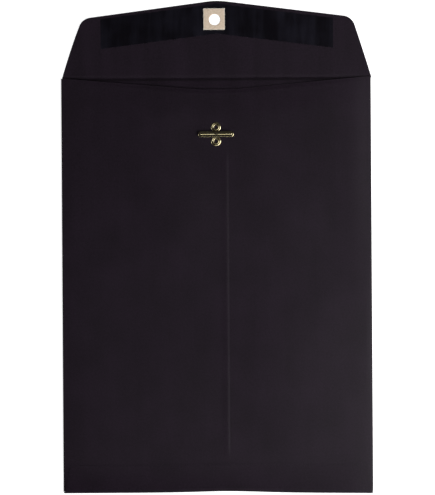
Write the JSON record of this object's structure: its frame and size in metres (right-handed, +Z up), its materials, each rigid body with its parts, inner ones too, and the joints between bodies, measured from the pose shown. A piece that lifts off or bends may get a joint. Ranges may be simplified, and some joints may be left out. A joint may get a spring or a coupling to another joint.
{
  "type": "clasp envelope",
  "caption": "Flat paper envelope with a gummed seal flap, a reinforced flap hole and a metal clasp with fold-down prongs.",
  "frame": {"origin": "middle of the envelope's body on the front panel's outer face, which lies on the table", "axes": "+Y from the bottom fold towards the open seal flap, +X to the right as the clasp side is seen, +Z up out of the clasp side"},
  "size_m": [0.2286, 0.3626, 0.0047],
  "materials": {
    "paper": "matte",
    "gum": "satin",
    "glue": "matte",
    "tag_stock": "matte",
    "clasp_metal": "polished"
  },
  "bodies": {
    "envelope": {"front_panel": "paper", "left_side_fold": "paper", "right_side_fold": "paper", "bottom_fold": "paper", "left_back_panel": "paper", "right_back_panel": "paper", "bottom_flap": "paper", "seam_glue": "glue", "bottom_glue": "glue", "clasp_plate": "clasp_metal", "upper_eyelet": "clasp_metal", "lower_eyelet": "clasp_metal"},
    "flap": {"seal_flap": "paper", "gum_strip": "gum", "flap_patch": "tag_stock"},
    "left_prong": {"left_prong": "clasp_metal"},
    "right_prong": {"right_prong": "clasp_metal"}
  },
  "joints": [
    {"name": "flap_fold", "type": "hinge", "parent": "envelope", "child": "flap", "pos_m": [0, 0.1532, 0.00193], "axis": [1, 0, 0], "range_deg": [0, 179.9]},
    {"name": "left_prong_bend", "type": "hinge", "parent": "envelope", "child": "left_prong", "pos_m": [-0.00055, 0.1114, 0.0043], "axis": [0, 1, 0], "range_deg": [0, 90]},
    {"name": "right_prong_bend", "type": "hinge", "parent": "envelope", "child": "right_prong", "pos_m": [0.00055, 0.1114, 0.0043], "axis": [0, -1, 0], "range_deg": [0, 90]}
  ]
}
